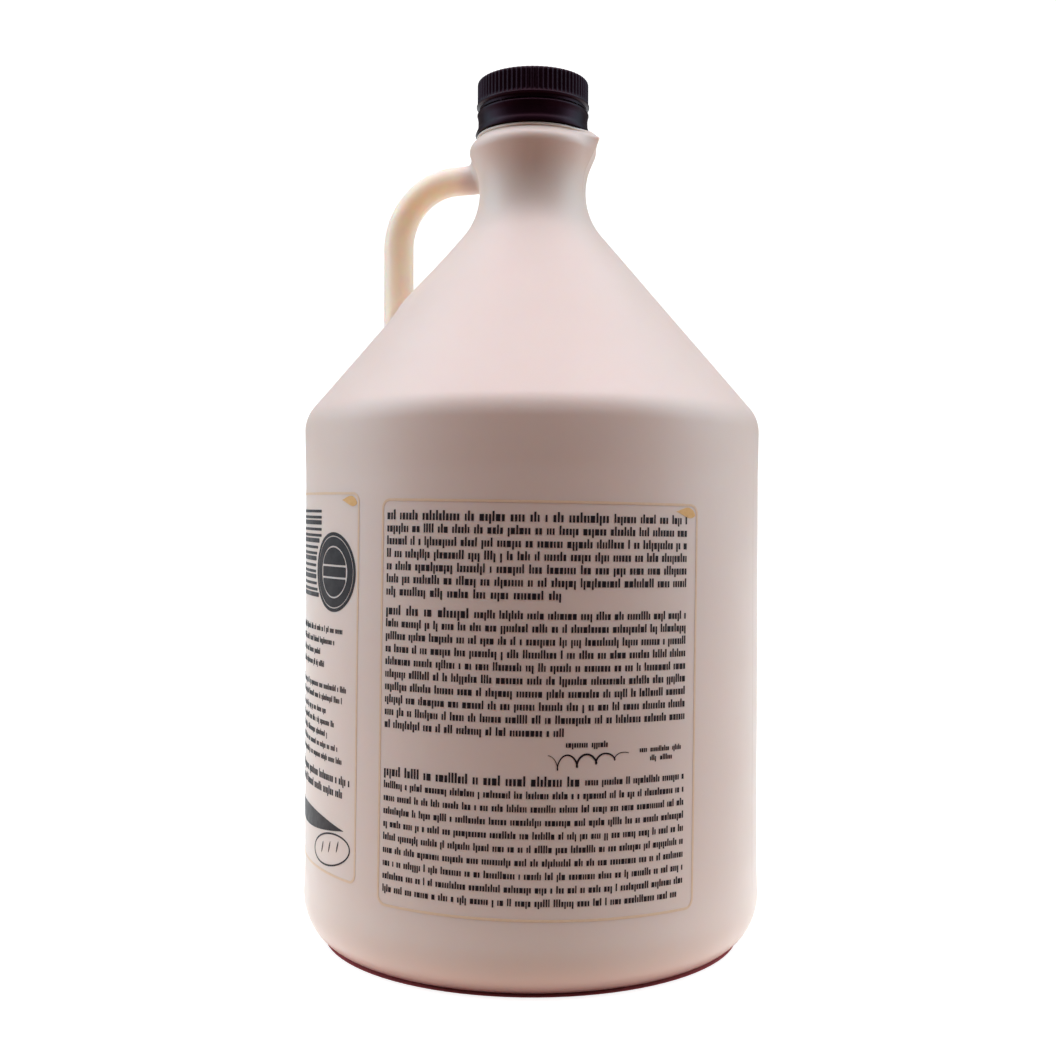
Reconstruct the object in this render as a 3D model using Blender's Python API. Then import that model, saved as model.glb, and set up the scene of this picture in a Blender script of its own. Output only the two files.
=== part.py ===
"""A one-gallon syrup jug: a blow-moulded body with a sloping shoulder, a bulbous neck with a small
pouring lip and a finger ring, shut by a ribbed screw cap over its tamper band.
The jug is shut and opaque, so its body is solid. It stands on z = 0 with its axis on the Z axis,
the finger ring towards -X and the pouring lip towards +X."""

import math

import bmesh
import bpy

MM = 0.001

# Body, in millimetres
BODY_R = 78.5
FOOT_R = 66.6  # outer edge of the flat ring that the jug stands on
FOOT_WIDTH = 4.5
PUSH_UP = 3.0  # how far the middle of the base is raised
HEEL_H = 16.0  # height of the rounded corner above the foot
SHOULDER_Z = 176.5  # where the wall's line and the shoulder's line cross
SHOULDER_ROUND = 12.0
WALL_SAG = 0.2  # how far the printed panel draws in between heel and shoulder

# Share of the foot's inner radius, and share of the push-up reached there
BASE_RISE = ((0.0, 1.0), (0.55, 1.0), (0.88, 0.8), (0.97, 0.25), (1.0, 0.0))

# Neck
WAIST_R = 14.8  # where the shoulder's line and the line of the neck's side cross
WAIST_Z = 252.0
WAIST_ROUND = 25.0
BULB_R = 22.7  # the corner's radius before rounding
BULB_Z = 271.2
BULB_ROUND = 3.5
CREASE_R = 19.1
CREASE_Z = 274.9
COLLAR_R = 19.6
COLLAR_TOP_Z = 275.9
FINISH_R = 16.6  # the plain spigot inside the cap

# Pouring lip on the neck's +X side
LIP_R = 24.7
LIP_Z = 274.2
LIP_FOOT_Z = 263.0  # where the lip's keel leaves the neck's side
LIP_TOP_R = 22.0

# Finger ring
ARM_TUBE_R = 5.1
UPRIGHT_TUBE_R = 5.45
RING_ARM_Z = 263.3
RING_X = 52.2  # distance of the upright from the jug's axis
RING_BEND_R = 22.6
ARM_FILLET_TOP = 3.6
ARM_FILLET_UNDER = 1.4
UPRIGHT_FILLET_OUTER = 2.5
UPRIGHT_FILLET_INNER = 4.5
FILLET_SHARES = (0.1, 0.3, 0.6, 1.0)
ROOT_DEPTH = 0.6  # how deep the ring's full section runs into what carries it
PLUG_SHARE = 0.5  # size of the ring's hidden ends as a share of the tube
PLUG_DEPTH = 12.0

# Swelling of the shoulder that carries the ring's foot
SWELL_H = 5.0
SWELL_Z = 219.5
SWELL_BELOW = 15.0
SWELL_ABOVE = 20.0
SWELL_ANGLE = math.radians(40.0)  # to each side of the ring

# Closure
CAP_TOP_Z = 295.0
CAP_R = 19.4
RIB_COUNT = 72
RIB_DEPTH = 0.4
RIB_LOW_Z = 287.0
RIB_HIGH_Z = 293.6
CAP_EDGE_ROUND = 1.2
CAP_LIP_R = 19.7
CAP_LIP_Z = 286.1
CAP_LIP_HEIGHT = 0.4
CAP_LOW_Z = 284.75
CAP_INNER_R = 17.2
CAP_TOP_THICK = 1.7
NECKED_R = 18.7  # bottom of the groove between cap and band
BAND_TOP_Z = 284.4
BAND_BEAD_R = 19.5
BAND_BEAD_Z = 283.3
BAND_WAIST_R = 19.1
BAND_WAIST_Z = 281.4
BAND_FLARE_R = 20.1
BAND_FLARE_H = 1.3
BAND_LOW_Z = 276.25
BAND_INNER_R = 17.5
GAP = 0.3  # clearance between pieces that touch

# Fineness of the round shapes
JUG_SIDES = 80
RING_SIDES = 16
BEND_STEPS = 10
HEEL_STEPS = 7
PANEL_STEPS = 7
WAIST_STEPS = 7
BAND_SIDES = 72
HEIGHT_STEPS = 12  # for the height of the swelling under the ring

# Corners of the jug's outline above the wall as (r, z), before rounding, and the shoulder's slope
CORNERS = ((BODY_R, SHOULDER_Z), (WAIST_R, WAIST_Z), (BULB_R, BULB_Z), (CREASE_R, CREASE_Z))
SLOPE = (WAIST_Z - SHOULDER_Z) / (BODY_R - WAIST_R)


def clear_scene():
    for obj in list(bpy.data.objects):
        bpy.data.objects.remove(obj, do_unlink=True)


def plastic(name, color, roughness):
    """A plain moulded plastic: colour as linear RGB."""
    material = bpy.data.materials.new(name)
    material.use_nodes = True
    shader = material.node_tree.nodes["Principled BSDF"]
    shader.inputs["Base Color"].default_value = (*color, 1.0)
    shader.inputs["Roughness"].default_value = roughness
    shader.inputs["Metallic"].default_value = 0.0
    return material


def mesh_object(name, bm, material, sharp_degrees=35.0):
    bmesh.ops.recalc_face_normals(bm, faces=bm.faces)
    mesh = bpy.data.meshes.new(name)
    bm.to_mesh(mesh)
    bm.free()
    mesh.materials.append(material)
    mesh.shade_smooth()
    mesh.set_sharp_from_angle(angle=math.radians(sharp_degrees))
    obj = bpy.data.objects.new(name, mesh)
    bpy.context.collection.objects.link(obj)
    return obj


def fillet(before, corner, after, radius, steps):
    """Points (r, z) of an arc that rounds a corner of an outline."""
    ax, az = before[0] - corner[0], before[1] - corner[1]
    bx, bz = after[0] - corner[0], after[1] - corner[1]
    la, lb = math.hypot(ax, az), math.hypot(bx, bz)
    ax, az, bx, bz = ax / la, az / la, bx / lb, bz / lb
    half = math.acos(ax * bx + az * bz) / 2
    mx, mz = ax + bx, az + bz
    lm = math.hypot(mx, mz)
    away = radius / math.sin(half)
    cx, cz = corner[0] + mx / lm * away, corner[1] + mz / lm * away
    reach = radius / math.tan(half)
    start = math.atan2(corner[1] + az * reach - cz, corner[0] + ax * reach - cx)
    end = math.atan2(corner[1] + bz * reach - cz, corner[0] + bx * reach - cx)
    turn = (end - start + math.pi) % (2 * math.pi) - math.pi
    angles = [start + turn * i / steps for i in range(steps + 1)]
    return [(cx + radius * math.cos(a), cz + radius * math.sin(a)) for a in angles]


def along(start, end, shares):
    """Points of an outline on the straight line between two of its corners."""
    return [(start[0] + (end[0] - start[0]) * s, start[1] + (end[1] - start[1]) * s) for s in shares]


def wall_radius(z):
    """The wall between heel and shoulder, drawn in slightly along the printed panel."""
    middle = (HEEL_H + SHOULDER_Z) / 2
    t = (z - middle) / ((SHOULDER_Z - SHOULDER_ROUND - HEEL_H) / 2)
    return BODY_R - WALL_SAG * max(0.0, 1 - t * t) ** 2


def jug_outline():
    """Half section of the jug as (r, z), from the centre of its base up to the centre of its spigot."""
    inner_foot = FOOT_R - FOOT_WIDTH
    heel_width = BODY_R - FOOT_R
    points = [(inner_foot * share, PUSH_UP * rise) for share, rise in BASE_RISE]
    for i in range(HEEL_STEPS + 1):
        angle = math.radians(90) * i / HEEL_STEPS
        points.append((FOOT_R + heel_width * math.sin(angle), HEEL_H - HEEL_H * math.cos(angle)))
    panel_top = SHOULDER_Z - SHOULDER_ROUND
    for i in range(1, PANEL_STEPS):
        z = HEEL_H + (panel_top - HEEL_H) * i / PANEL_STEPS
        points.append((wall_radius(z), z))
    shoulder, waist, bulb, crease = CORNERS
    points += fillet((BODY_R, HEEL_H), shoulder, waist, SHOULDER_ROUND, 4)
    points += along(shoulder, waist, (0.2, 0.35, 0.42, 0.49, 0.56, 0.63, 0.7, 0.78))
    points += neck_side()[:-1] + along(waist, bulb, (0.75,))
    points += fillet(waist, bulb, crease, BULB_ROUND, 4)
    points += along(bulb, crease, (0.75,))
    points += [crease, (COLLAR_R, CREASE_Z + GAP), (COLLAR_R, COLLAR_TOP_Z - GAP)]
    finish_top = CAP_TOP_Z - CAP_TOP_THICK - GAP
    points += [(COLLAR_R - GAP, COLLAR_TOP_Z), (FINISH_R, COLLAR_TOP_Z), (FINISH_R, finish_top)]
    points.append((0.0, finish_top))
    return points


def neck_side():
    """The neck's side as (r, z): one wide arc from the shoulder's slope, then straight to the bulb."""
    shoulder, waist, bulb, _ = CORNERS
    return fillet(shoulder, waist, bulb, WAIST_ROUND, WAIST_STEPS) + [bulb]


def neck_radius(z):
    """Radius of the neck's side at a height."""
    side = neck_side()
    for (low_r, low_z), (high_r, high_z) in zip(side, side[1:]):
        if z <= high_z:
            return low_r + (high_r - low_r) * (z - low_z) / (high_z - low_z)
    return BULB_R


def swell(z, angle):
    """How far the shoulder swells out round the ring's foot."""
    aside = (math.pi - abs(angle)) / SWELL_ANGLE
    away = (z - SWELL_Z) / (SWELL_ABOVE if z > SWELL_Z else SWELL_BELOW)
    if aside >= 1 or abs(away) >= 1:
        return 0.0
    return SWELL_H * (math.cos(math.pi / 2 * aside) * math.cos(math.pi / 2 * away)) ** 2


def lip_tip(z):
    """How far the lip's keel reaches from the axis at a height of the neck."""
    foot_r = neck_radius(LIP_FOOT_Z)
    if z <= LIP_Z:
        return foot_r + (LIP_R - foot_r) * (z - LIP_FOOT_Z) / (LIP_Z - LIP_FOOT_Z)
    share = (z - LIP_Z) / (COLLAR_TOP_Z - LIP_Z)
    return LIP_R + (LIP_TOP_R - LIP_R) * share


def shaped(radius, z, angle):
    """A point of the jug with the swelling at the ring's foot, or with the lip's two flat flanks."""
    if not LIP_FOOT_Z < z <= COLLAR_TOP_Z or radius < CREASE_R - GAP:
        return radius + swell(z, angle), z
    tip = max(lip_tip(z), radius)
    spread = math.acos(radius / tip)
    if abs(angle) >= spread:
        return radius, z
    return radius / math.cos(spread - abs(angle)), z


def turned(outline, sides, place=None):
    """A closed mesh turned about the Z axis from an outline whose ends may lie on the axis."""
    bm = bmesh.new()
    rings = []
    for radius, z in outline:
        if radius == 0.0:
            rings.append([bm.verts.new((0.0, 0.0, z * MM))] * sides)
            continue
        ring = []
        for i in range(sides):
            angle = 2 * math.pi * i / sides
            signed = (angle + math.pi) % (2 * math.pi) - math.pi
            r, h = place(radius, z, signed) if place else (radius, z)
            ring.append(bm.verts.new((r * math.cos(angle) * MM, r * math.sin(angle) * MM, h * MM)))
        rings.append(ring)
    ends_on_axis = outline[0][0] == 0.0 and outline[-1][0] == 0.0
    pairs = list(zip(rings, rings[1:]))
    if not ends_on_axis:
        pairs.append((rings[-1], rings[0]))
    for low, high in pairs:
        for i in range(sides):
            j = (i + 1) % sides
            corners = [low[i], low[j], high[j], high[i]]
            bm.faces.new(list(dict.fromkeys(corners)))
    return bm


def shoulder_height(x, y):
    """Height of the sloping shoulder at a place, found by steps because the swelling depends on it."""
    radius, angle = math.hypot(x, y), math.atan2(y, x)
    height = SWELL_Z
    for _ in range(HEIGHT_STEPS):
        height = SHOULDER_Z + (BODY_R - radius + swell(height, angle)) * SLOPE
    return height


def fillet_offset(height, radius):
    """How far a round fillet stands out at a height above the surface it runs into."""
    drop = max(0.0, radius - max(0.0, height))
    return radius - math.sqrt(max(0.0, radius * radius - drop * drop))


def circle():
    return [2 * math.pi * k / RING_SIDES for k in range(RING_SIDES)]


def plug(middle_x, middle_z, upright):
    """The slim hidden end of the ring, which closes its tube inside the jug."""
    size = ARM_TUBE_R * PLUG_SHARE
    section = []
    for t in circle():
        y, other = size * math.sin(t), size * math.cos(t)
        section.append((middle_x - other, y, middle_z) if upright else (middle_x, y, middle_z + other))
    return section


def arm_section(share):
    """A section of the arm near the neck: share 0 lies on the neck, 1 where its fillet ends."""
    section = []
    for t in circle():
        top = (1 + math.cos(t)) / 2
        radius = ARM_FILLET_UNDER + (ARM_FILLET_TOP - ARM_FILLET_UNDER) * top
        height = share * radius if share > 0 else -ROOT_DEPTH
        reach = ARM_TUBE_R + fillet_offset(height, radius)
        y, z = reach * math.sin(t), RING_ARM_Z + reach * math.cos(t)
        section.append((-math.sqrt(neck_radius(z) ** 2 - y * y) - height, y, z))
    return section


def bend_section(share):
    """A section of the quarter bend between arm and upright."""
    angle = math.radians(90) * (1 - share)
    tube = ARM_TUBE_R + (UPRIGHT_TUBE_R - ARM_TUBE_R) * share
    section = []
    for t in circle():
        out = RING_BEND_R + tube * math.cos(t)
        x = RING_BEND_R - RING_X - out * math.cos(angle)
        section.append((x, tube * math.sin(t), RING_ARM_Z - RING_BEND_R + out * math.sin(angle)))
    return section


def upright_section(share):
    """A section of the upright near the shoulder: share 0 lies on the shoulder, 1 where its fillet ends."""
    tilt = math.cos(math.atan(SLOPE))
    section = []
    for t in circle():
        outer = (1 + math.cos(t)) / 2
        radius = UPRIGHT_FILLET_INNER + (UPRIGHT_FILLET_OUTER - UPRIGHT_FILLET_INNER) * outer
        height = share * radius if share > 0 else -ROOT_DEPTH
        grow = fillet_offset(height, radius)
        # Along the slope the fillet is foreshortened when seen from above.
        x = -RING_X - (UPRIGHT_TUBE_R + grow * tilt) * math.cos(t)
        y = (UPRIGHT_TUBE_R + grow) * math.sin(t)
        section.append((x, y, shoulder_height(x, y) + height / tilt))
    return section


def ring_sections():
    """Cross-sections of the finger ring in order, from inside the neck to inside the shoulder."""
    sections = [plug(-WAIST_R * PLUG_SHARE, RING_ARM_Z, False), arm_section(0)]
    sections += [arm_section(share) for share in FILLET_SHARES]
    sections += [bend_section(i / BEND_STEPS) for i in range(BEND_STEPS + 1)]
    sections += [upright_section(share) for share in reversed(FILLET_SHARES)]
    sections += [upright_section(0), plug(-RING_X, shoulder_height(-RING_X, 0.0) - PLUG_DEPTH, True)]
    return sections


def finger_ring(material):
    bm = bmesh.new()
    rings = []
    for section in ring_sections():
        rings.append([bm.verts.new((x * MM, y * MM, z * MM)) for x, y, z in section])
    for low, high in zip(rings, rings[1:]):
        for i in range(RING_SIDES):
            j = (i + 1) % RING_SIDES
            bm.faces.new([low[i], low[j], high[j], high[i]])
    bm.faces.new(rings[0])
    bm.faces.new(list(reversed(rings[-1])))
    return mesh_object("finger_ring", bm, material)


def jug(material):
    """Body, neck, lip and finger ring: one blow-moulded piece."""
    body = mesh_object("jug", turned(jug_outline(), JUG_SIDES, shaped), material)
    ring = finger_ring(material)
    join = body.modifiers.new("ring", "BOOLEAN")
    join.operation = "UNION"
    join.solver = "EXACT"
    join.object = ring
    graph = bpy.context.evaluated_depsgraph_get()
    joined = bpy.data.meshes.new_from_object(body.evaluated_get(graph))
    body.modifiers.clear()
    body.data = joined
    bpy.data.objects.remove(ring, do_unlink=True)
    joined.name = "jug"
    return body


def cap_outline():
    """Closed section of the cap as (r, z), from the middle of its top round to its inside."""
    ceiling = CAP_TOP_Z - CAP_TOP_THICK
    top_edge = fillet((0, CAP_TOP_Z), (CAP_R, CAP_TOP_Z), (CAP_R, RIB_HIGH_Z), CAP_EDGE_ROUND, 2)
    return [
        (0.0, CAP_TOP_Z),
        *top_edge[:2],
        (CAP_R, RIB_HIGH_Z),
        (CAP_R, RIB_LOW_Z),
        (CAP_LIP_R, CAP_LIP_Z + CAP_LIP_HEIGHT),
        (CAP_LIP_R, CAP_LIP_Z),
        (NECKED_R, CAP_LIP_Z - CAP_LIP_HEIGHT),
        (NECKED_R, CAP_LOW_Z),
        (CAP_INNER_R, CAP_LOW_Z),
        (CAP_INNER_R, ceiling),
        (0.0, ceiling),
    ]


def cap(material):
    """The screw cap, with a rib at every second side."""

    def ribs(radius, z, angle):
        side = round(angle / (math.pi / RIB_COUNT))
        root = z in (RIB_LOW_Z, RIB_HIGH_Z) and side % 2 == 1
        return radius - (RIB_DEPTH if root else 0.0), z

    bm = turned(cap_outline(), RIB_COUNT * 2, ribs)
    return mesh_object("cap", bm, material, 50.0)


def tamper_band(material):
    """The ring under the cap, which stays on the neck when the cap is first unscrewed."""
    outline = [
        (NECKED_R, BAND_TOP_Z),
        (BAND_BEAD_R, BAND_BEAD_Z + GAP),
        (BAND_BEAD_R, BAND_BEAD_Z),
        (BAND_WAIST_R, BAND_WAIST_Z + GAP),
        (BAND_WAIST_R, (BAND_WAIST_Z + BAND_LOW_Z + BAND_FLARE_H) / 2),
        (BAND_FLARE_R - GAP, BAND_LOW_Z + BAND_FLARE_H),
        (BAND_FLARE_R, BAND_LOW_Z + GAP),
        (BAND_FLARE_R - GAP, BAND_LOW_Z),
        (BAND_INNER_R, BAND_LOW_Z),
        (BAND_INNER_R, BAND_TOP_Z),
    ]
    return mesh_object("tamper_band", turned(outline, BAND_SIDES), material)


def main():
    clear_scene()
    tan = plastic("tan_hdpe", (0.56, 0.40, 0.30), 0.42)
    brown = plastic("dark_brown_cap", (0.016, 0.008, 0.009), 0.36)
    brown_band = plastic("dark_brown_band", (0.016, 0.008, 0.009), 0.34)
    jug(tan)
    cap(brown)
    tamper_band(brown_band)


main()
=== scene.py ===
"""Looks of the one-gallon syrup jug: tan polyethylene, dark ribbed closure and the print on the wall."""

import math
import random

import bmesh
import bpy
from mathutils import Matrix, Vector, noise


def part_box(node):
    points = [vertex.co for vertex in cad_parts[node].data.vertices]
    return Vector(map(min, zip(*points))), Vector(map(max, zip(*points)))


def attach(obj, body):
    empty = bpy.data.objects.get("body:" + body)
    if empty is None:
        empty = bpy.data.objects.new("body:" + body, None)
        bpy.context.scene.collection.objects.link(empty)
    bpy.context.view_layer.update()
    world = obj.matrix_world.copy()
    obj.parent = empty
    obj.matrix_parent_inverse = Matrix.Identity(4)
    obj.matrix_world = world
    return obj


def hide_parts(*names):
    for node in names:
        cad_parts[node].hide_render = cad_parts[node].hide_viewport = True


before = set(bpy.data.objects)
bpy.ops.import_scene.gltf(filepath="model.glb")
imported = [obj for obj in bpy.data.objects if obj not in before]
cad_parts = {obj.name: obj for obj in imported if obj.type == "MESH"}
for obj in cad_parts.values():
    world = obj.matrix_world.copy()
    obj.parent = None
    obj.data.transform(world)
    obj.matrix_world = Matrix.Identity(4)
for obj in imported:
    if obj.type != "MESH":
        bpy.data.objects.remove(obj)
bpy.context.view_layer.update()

MM = 0.001
_, jug_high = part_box("jug")
cap_low, cap_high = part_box("cap")

# Body, in millimetres, with the axis on the Z axis
BODY_R = jug_high.x / MM
FOOT_R = 66.6
FOOT_WIDTH = 4.5
PUSH_UP = 3.0
HEEL_H = 16.0
SHOULDER_Z = 176.5
SHOULDER_ROUND = 12.0
WALL_SAG = 0.3  # how far the wall draws in under the print, so that the ink stays inside the solid
BASE_RISE = ((0.0, 1.0), (0.3, 1.0), (0.55, 1.0), (0.75, 0.96), (0.88, 0.8), (0.94, 0.5), (0.97, 0.25),
             (1.0, 0.0))
SAG_STARTS = 9.0  # from the heel
SAG_ENDS = (20.0, 9.0)  # from the shoulder
WAVINESS = 0.09
WAVE_LENGTH = 38.0
WAVE_STARTS_Z = 20.0
WAVE_ENDS_Z = (262.0, 270.0)
WALL_FADES = 8.0  # waves and parting line fade in over this height
SHOULDER_FADES = (10.0, 6.0)  # and out this far below the shoulder

# Neck
WAIST_R = 14.8  # where the shoulder's line and the line of the neck's side cross
WAIST_Z = 252.0
WAIST_ROUND = 25.0
BULB_R = 22.7
BULB_Z = 271.2
BULB_ROUND = 3.5
CREASE_R = 19.1
CREASE_Z = 274.9
COLLAR_R = 19.6
COLLAR_TOP_Z = 275.9
FINISH_R = 16.6
LIP_R = 24.9
LIP_Z = 273.6
LIP_FOOT_Z = 263.0
LIP_TOP_R = 22.0
KEEL_ROUND = 0.025  # how far the lip's keel is rounded off, as an angle about the axis
CORNERS = ((BODY_R, SHOULDER_Z), (WAIST_R, WAIST_Z), (BULB_R, BULB_Z), (CREASE_R, CREASE_Z))
SLOPE = (WAIST_Z - SHOULDER_Z) / (BODY_R - WAIST_R)

# Finger ring
ARM_TUBE_R = 5.1
UPRIGHT_TUBE_R = 5.45
RING_ARM_Z = 263.3
RING_X = 52.2
RING_BEND_R = 22.6
ARM_FILLET_TOP = 3.6
ARM_FILLET_UNDER = 1.4
UPRIGHT_FILLET_OUTER = 2.5
UPRIGHT_FILLET_INNER = 4.5
ROOT_DEPTH = 0.6
PLUG_SHARE = 0.5
PLUG_DEPTH = 12.0

# Swelling of the shoulder that carries the ring's foot
SWELL_H = 5.0
SWELL_Z = 219.5
SWELL_BELOW = 15.0
SWELL_ABOVE = 20.0
SWELL_ANGLE = math.radians(40.0)

# Parting line of the mould, in the plane of ring and lip
SEAM_H = 0.1
SEAM_W = 0.35

# How finely the round shapes are cut
JUG_COLUMNS = 288
JUG_CLOSE_COLUMNS = (0.0016, 0.0032, 0.005, 0.0075, 0.011, 0.016, 0.027, 0.034)  # beside the parting line
TUBE_SIDES = 44
TUBE_CLOSE_SIDES = (0.03, 0.06, 0.1, 0.18, 0.22)
TUBE_FILLET_SHARES = (0.03, 0.1, 0.2, 0.35, 0.5, 0.7, 1.0)
BEND_STEPS = 32
RIB_STEPS = 8
BAND_COLUMNS = 240
DISC_SIDES = 96

# Closure
CAP_TOP_Z = cap_high.z / MM
CAP_LOW_Z = cap_low.z / MM
CAP_R = 19.4
RIB_COUNT = 72
RIB_DEPTH = 0.42
RIB_LOW_Z = 287.0
RIB_HIGH_Z = 293.9
CAP_EDGE_ROUND = 1.1
CAP_LIP_R = 19.7
CAP_LIP_Z = 286.1
CAP_INNER_R = 17.2
CAP_TOP_THICK = 1.7
CAP_DISH = ((13.4, 0.25), (13.8, 0.05), (14.2, 0.0))  # edge of the shallow top: radius and depth
NECKED_R = 18.7
BAND_TOP_Z = 284.4
BAND_BEAD_R = 19.5
BAND_BEAD_Z = 283.3
BAND_WAIST_R = 19.1
BAND_WAIST_Z = 281.4
BAND_FLARE_R = 20.1
BAND_FLARE_H = 1.3
BAND_LOW_Z = 276.25
BAND_INNER_R = 17.5
BRIDGE_COUNT = 12
BRIDGE_HALF = 0.35
GAP = 0.3

# Print: heights above the floor, distances along the wall from the middle of each panel
INK_H = 0.07
INK_ROOT = 0.05
PRINT_TILT = math.radians(-0.81)
FRAME_LINE = 0.75
FRAME_CORNER = 3.2
INK_STEP = 2.5  # longest stretch of print that stays flat

# A row of words: sizes as shares of the height of its small blocks
BLOCK_WIDTHS = (0.26, 0.3, 0.34, 0.34, 0.38, 0.42, 0.5, 0.66)
TALL_WIDTH = 0.3
WORD_LENGTHS = (1, 2, 2, 3, 3, 4, 4, 5, 6, 7, 8, 9, 11)
BLOCK_GAP = 0.2
WORD_GAP = 0.76
TALL_SHARE = 0.22  # of the blocks, those that stand above the row
DEEP_SHARE = 0.08  # and those that hang below it
TALL_TOP = 0.95
DEEP_FOOT = 0.9

# Camera, from the photograph
VIEW_AZIMUTH = math.radians(21.0)
CAMERA_DISTANCE = 461.5
CAMERA_HEIGHT = 139.9
CAMERA_ASIDE = 1.3
CAMERA_PITCH = math.radians(0.10)
CAMERA_ROLL = math.radians(0.175)
FOCAL_PX = 1315.0
PHOTO_W = 1056.0
SENSOR_MM = 36.0

# The thin ring lets light through: where that starts, from the axis and above the shoulder's slope. There the
# base colour is painted paler, a painted glow for that light.
GLOW_FROM_AXIS = (21.0, 29.0)
GLOW_ABOVE = (4.0, 11.0)
# painted glow: the paler base colour the ring gets for the light it lets through
PAINTED_RING_GLOW = (0.95, 0.8, 0.7)

# Colours, by the strength of a noise
TAN_TONES = ((0.25, (0.755, 0.625, 0.55)), (0.5, (0.77, 0.64, 0.565)), (0.75, (0.785, 0.655, 0.58)))
CLOSURE_TONES = ((0.3, (0.007, 0.0014, 0.0035)), (0.7, (0.011, 0.0026, 0.006)))
DARK_TONES = ((0.3, (0.009, 0.007, 0.009)), (0.75, (0.02, 0.016, 0.02)))
PALE_GOLD_TONES = ((0.3, (0.76, 0.56, 0.38)), (0.7, (0.79, 0.6, 0.43)))
GOLD_TONES = ((0.3, (0.75, 0.45, 0.17)), (0.7, (0.8, 0.51, 0.22)))
FLOOR_TONES = ((0.3, (0.44, 0.43, 0.42)), (0.7, (0.47, 0.46, 0.45)))
# colour of the painted contact shadow under the foot
SHADE_TONES = ((0.3, (0.56, 0.13, 0.14)), (0.7, (0.62, 0.15, 0.16)))

# Light, by how far a direction turns towards the camera's side: 1 in front, 0 beside, -1 behind the jug
LIGHT_SCALE = 4.5
SIDE_LIGHT = ((-1.0, (0.12, 0.12, 0.12)), (-0.6, (0.12, 0.12, 0.12)), (-0.25, (1.25, 2.0, 2.3)),
              (0.1, (2.45, 3.2, 3.65)), (0.4, (0.5, 0.7, 0.65)), (0.6, (0.05, 0.05, 0.05)),
              (1.0, (0.05, 0.05, 0.05)))
LOW_LIGHT = ((-1.0, (1.65, 1.85, 1.9)), (0.0, (0.97, 0.55, 0.46)), (1.0, (0.0, 0.0, 0.0)))
TOP_LIGHT = (3.0, 2.5, 2.7)
TOP_LIGHT_EDGE = (0.7, 0.95)
HORIZON_EDGE = (-0.06, 0.06)
BACKGROUND = 1.2
TABLE_GLOW_WIDTH = 0.3
TABLE_GLOW_DEPTH = 0.001
TABLE_GLOW = (0.32, 0.33, 0.32)
SHADE_R = 71.4  # painted contact shadow: a dark disc under the jug's foot
BLOCK_R = 75.5  # no light comes up from here
FLOOR_GAPS = (0.1, 0.05, 0.3)  # how far the table, the painted contact shadow and the light-blocking disc lie below the jug
FLOOR_LIFT = 0.8
FLOOR_SIZE = 6000.0


def facing(degrees):
    """Angle about the jug's axis of a place that many degrees to the right of the camera's side."""
    return math.radians(degrees - 90) + VIEW_AZIMUTH


# Geometry

def new_object(name, vertices, faces, material, sharp_degrees=40.0):
    mesh = bpy.data.meshes.new(name)
    mesh.from_pydata([(x * MM, y * MM, z * MM) for x, y, z in vertices], [], faces)
    mesh.validate()
    mesh.materials.append(material)
    mesh.shade_smooth()
    mesh.set_sharp_from_angle(angle=math.radians(sharp_degrees))
    obj = bpy.data.objects.new(name, mesh)
    bpy.context.scene.collection.objects.link(obj)
    return obj


def fillet(before, corner, after, radius, steps):
    """Points (r, z) of an arc that rounds a corner of an outline."""
    a = (Vector(before) - Vector(corner)).normalized()
    b = (Vector(after) - Vector(corner)).normalized()
    half = a.angle(b) / 2
    centre = Vector(corner) + (a + b).normalized() * (radius / math.sin(half))
    reach = radius / math.tan(half)
    first, last = Vector(corner) + a * reach - centre, Vector(corner) + b * reach - centre
    start, end = math.atan2(first.y, first.x), math.atan2(last.y, last.x)
    turn = (end - start + math.pi) % (2 * math.pi) - math.pi
    angles = [start + turn * i / steps for i in range(steps + 1)]
    return [(centre.x + radius * math.cos(t), centre.y + radius * math.sin(t)) for t in angles]


def along(start, end, count):
    """The inner points that split a straight stretch into equal parts."""
    shares = [i / count for i in range(1, count)]
    return [(start[0] + (end[0] - start[0]) * s, start[1] + (end[1] - start[1]) * s) for s in shares]


def turned_mesh(outline, angles, place):
    """Vertices and faces of an outline (r, z) turned about Z; place moves each (r, z, angle)."""
    vertices, faces, rings = [], [], []
    for radius, z in outline:
        if radius == 0.0:
            rings.append([len(vertices)] * len(angles))
            vertices.append((0.0, 0.0, z))
            continue
        ring = []
        for angle in angles:
            r, h = place(radius, z, angle)
            ring.append(len(vertices))
            vertices.append((r * math.cos(angle), r * math.sin(angle), h))
        rings.append(ring)
    pairs = list(zip(rings, rings[1:]))
    if outline[0][0] != 0.0:
        pairs.append((rings[-1], rings[0]))
    for low, high in pairs:
        for i in range(len(angles)):
            j = (i + 1) % len(angles)
            faces.append(list(dict.fromkeys((low[i], low[j], high[j], high[i]))))
    return vertices, faces


def smooth_step(low, high, value):
    t = min(1.0, max(0.0, (value - low) / (high - low)))
    return t * t * (3 - 2 * t)


def wall_radius(z):
    """The wall between heel and shoulder, drawn in under the print."""
    sunk = smooth_step(HEEL_H, HEEL_H + SAG_STARTS, z)
    sunk *= 1 - smooth_step(SHOULDER_Z - SAG_ENDS[0], SHOULDER_Z - SAG_ENDS[1], z)
    return BODY_R - WALL_SAG * sunk


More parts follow.
